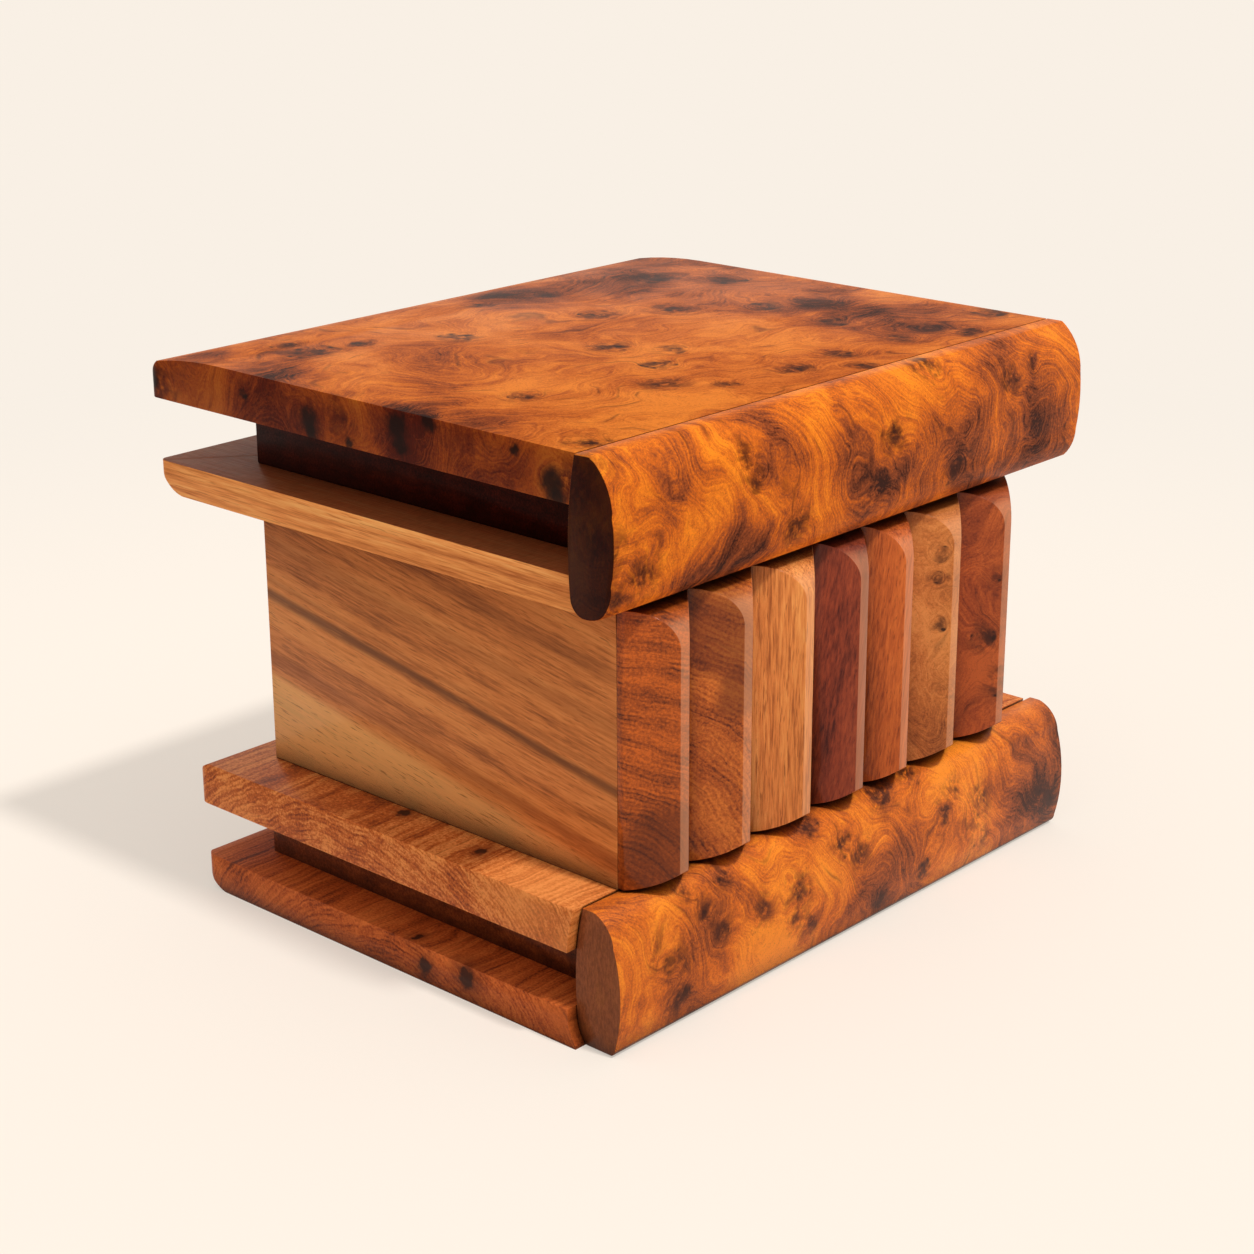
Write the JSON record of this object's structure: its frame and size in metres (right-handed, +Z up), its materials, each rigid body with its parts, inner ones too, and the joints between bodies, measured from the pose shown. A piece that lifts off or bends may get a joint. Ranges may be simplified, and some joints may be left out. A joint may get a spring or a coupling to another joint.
{
  "type": "book stack secret box",
  "caption": "Wooden keepsake box shaped as a stack of books: hinged lid book over a walled box fronted by upright books, on a base book with a sliding spine.",
  "frame": {"origin": "middle of the footprint, on the table", "axes": "+X along the spines to the right, +Y from the spines to the fore-edges, +Z up"},
  "size_m": [0.132, 0.1148, 0.102],
  "materials": {
    "lid_burl": "glossy",
    "spine_burl": "glossy",
    "page_wood": "satin",
    "pale_wood": "satin",
    "wall_wood": "satin",
    "base_wood": "satin",
    "base_burl": "glossy",
    "base_page_wood": "satin",
    "book_wood_1": "satin",
    "book_wood_2": "satin",
    "book_wood_3": "satin",
    "book_wood_4": "satin",
    "book_wood_5": "satin",
    "book_wood_6": "satin",
    "book_wood_7": "satin",
    "brass": "satin",
    "steel": "satin"
  },
  "bodies": {
    "box": {"back_wall": "wall_wood", "base_lower_board": "base_wood", "base_page_block": "base_page_wood", "base_upper_board": "base_wood", "book_1": "book_wood_1", "book_2": "book_wood_2", "book_3": "book_wood_3", "book_5": "book_wood_5", "book_6": "book_wood_6", "book_7": "book_wood_7", "cover_hinge_pin": "steel", "cover_hinge_wall_leaf": "brass", "front_wall": "wall_wood", "hinge_box_screws": "brass", "hinge_left_box_leaf": "brass", "hinge_left_pin": "steel", "hinge_right_box_leaf": "brass", "hinge_right_pin": "steel", "key": "steel", "keyhole_plate": "brass", "left_wall": "wall_wood", "lock_case": "brass", "lock_cover": "brass", "lock_screws": "brass", "right_wall": "wall_wood", "stop_pin": "brass"},
    "lid": {"lid_spine": "spine_burl", "lid_top_board": "lid_burl", "lid_page_block": "page_wood", "lid_lower_board": "pale_wood", "hinge_left_lid_leaf": "brass", "hinge_right_lid_leaf": "brass", "hinge_lid_screws": "brass", "strike_plate": "brass", "strike_screws": "brass"},
    "keyhole_cover": {"book_4": "book_wood_4", "cover_hinge_book_leaf": "brass"},
    "sliding_spine": {"base_spine": "base_burl", "spine_rail": "base_page_wood"},
    "lock_bolt": {"lock_bolt": "steel"}
  },
  "joints": [
    {"name": "lid_hinge", "type": "hinge", "parent": "box", "child": "lid", "pos_m": [-0.00225, 0.03985, 0.076], "axis": [-1, 0, 0], "range_deg": [0, 90]},
    {"name": "spine_slide", "type": "slide", "parent": "box", "child": "sliding_spine", "axis": [1, 0, 0], "range_m": [-0.002, 0.016]},
    {"name": "cover_turn", "type": "hinge", "parent": "box", "child": "keyhole_cover", "pos_m": [0.0063, -0.0504, 0.058], "axis": [0, 0, 1], "range_deg": [0, 75]},
    {"name": "bolt_slide", "type": "slide", "parent": "box", "child": "lock_bolt", "axis": [0, 0, 1], "range_m": [0, 0.0035]}
  ]
}
